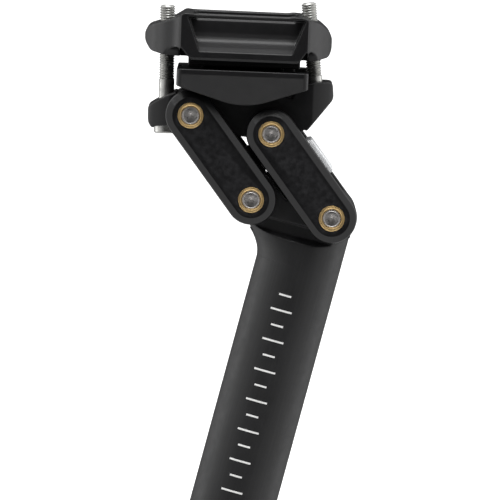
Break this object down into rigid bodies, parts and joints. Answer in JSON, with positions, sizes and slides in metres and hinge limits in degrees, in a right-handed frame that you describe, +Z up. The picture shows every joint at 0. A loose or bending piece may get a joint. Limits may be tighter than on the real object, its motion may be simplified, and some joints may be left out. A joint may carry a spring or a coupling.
{
  "type": "suspension seatpost",
  "caption": "Round bicycle seatpost with a two-link parallelogram under its saddle rail clamp, a lever-driven plunger and coil springs inside the tube.",
  "frame": {"origin": "centre of the tube's lower end", "axes": "+Z up along the tube, +X towards the bicycle's rear, -Y its left side, which is the side in the picture"},
  "size_m": [0.0811, 0.052, 0.3057],
  "materials": {
    "post_tube": "matt charcoal anodised or painted alloy",
    "linkage_black": "satin black, soft grey highlights",
    "bush_bronze": "plain bronze bearing metal",
    "turned_steel": "turned end faces",
    "zinc_steel": "zinc plated",
    "plain_alloy": "machined",
    "black_rubber": "matt",
    "pale_label": "plain pale film"
  },
  "bodies": {
    "post": {"seat_post": "post_tube", "lower_front_pin": "turned_steel", "lower_rear_pin": "turned_steel", "plunger_guide_bush": "bush_bronze", "main_spring": "zinc_steel", "inner_spring": "zinc_steel"},
    "preload_adjuster": {"preload_plug": "plain_alloy", "preload_plug_seal": "black_rubber", "spring_seat": "plain_alloy", "bottom_out_bumper": "black_rubber"},
    "plunger": {"spring_plunger": "plain_alloy", "push_rod": "zinc_steel", "spring_cap": "plain_alloy"},
    "front_link": {"front_link": "linkage_black", "front_link_lower_bush_left": "bush_bronze", "front_link_lower_bush_right": "bush_bronze", "front_link_upper_bush_left": "bush_bronze", "front_link_upper_bush_right": "bush_bronze", "lever_roller_pin": "zinc_steel"},
    "roller": {"lever_roller": "zinc_steel"},
    "rear_link": {"rear_link": "linkage_black", "rear_link_lower_bush_left": "bush_bronze", "rear_link_lower_bush_right": "bush_bronze", "rear_link_upper_bush_left": "bush_bronze", "rear_link_upper_bush_right": "bush_bronze", "rear_link_label": "pale_label"},
    "head": {"clamp_base": "linkage_black", "upper_front_pin": "turned_steel", "upper_rear_pin": "turned_steel", "front_clamp_bolt": "zinc_steel", "rear_clamp_bolt": "zinc_steel", "front_bolt_washer": "zinc_steel", "rear_bolt_washer": "zinc_steel"},
    "cradle": {"lower_cradle": "linkage_black"},
    "rail_clamp": {"upper_clamp": "linkage_black", "front_clamp_nut": "turned_steel", "rear_clamp_nut": "turned_steel"}
  },
  "joints": [
    {"name": "front_link_swing", "type": "hinge", "parent": "post", "child": "front_link", "pos_m": [-0.0203, 0, 0.2403], "axis": [0, 1, 0], "range_deg": [0, 60], "stiffness_Nm_per_rad": 6, "springref_deg": -22.92},
    {"name": "rear_link_swing", "type": "hinge", "parent": "post", "child": "rear_link", "pos_m": [0.006, 0, 0.2413], "axis": [0, 1, 0], "range_deg": [0, 60]},
    {"name": "head_level", "type": "hinge", "parent": "front_link", "child": "head", "pos_m": [-0.04587, 0, 0.26116], "axis": [0, 1, 0], "range_deg": [-60, 0]},
    {"name": "plunger_slide", "type": "slide", "parent": "post", "child": "plunger", "axis": [0, 0, -1], "range_m": [0, 0.0141], "deforming": ["main_spring", "inner_spring"]},
    {"name": "preload_adjust", "type": "slide", "parent": "post", "child": "preload_adjuster", "axis": [0, 0, 1], "range_m": [0, 0.006]},
    {"name": "lever_roller_spin", "type": "hinge", "parent": "front_link", "child": "roller", "pos_m": [-0.00818, 0, 0.2473], "axis": [0, 1, 0], "continuous": true},
    {"name": "cradle_tilt", "type": "hinge", "parent": "head", "child": "cradle", "pos_m": [-0.03587, 0, 0.28903], "axis": [0, 1, 0], "range_deg": [-4, 4]},
    {"name": "clamp_open", "type": "slide", "parent": "cradle", "child": "rail_clamp", "axis": [-0.2233, 0, 0.9748], "range_m": [0, 0.003]}
  ],
  "couplings": [
    {"joint": "rear_link_swing", "follows": "front_link_swing", "ratio": 1},
    {"joint": "head_level", "follows": "front_link_swing", "ratio": -1},
    {"joint": "plunger_slide", "follows": "front_link_swing", "m_per_rad": 0.013369}
  ]
}
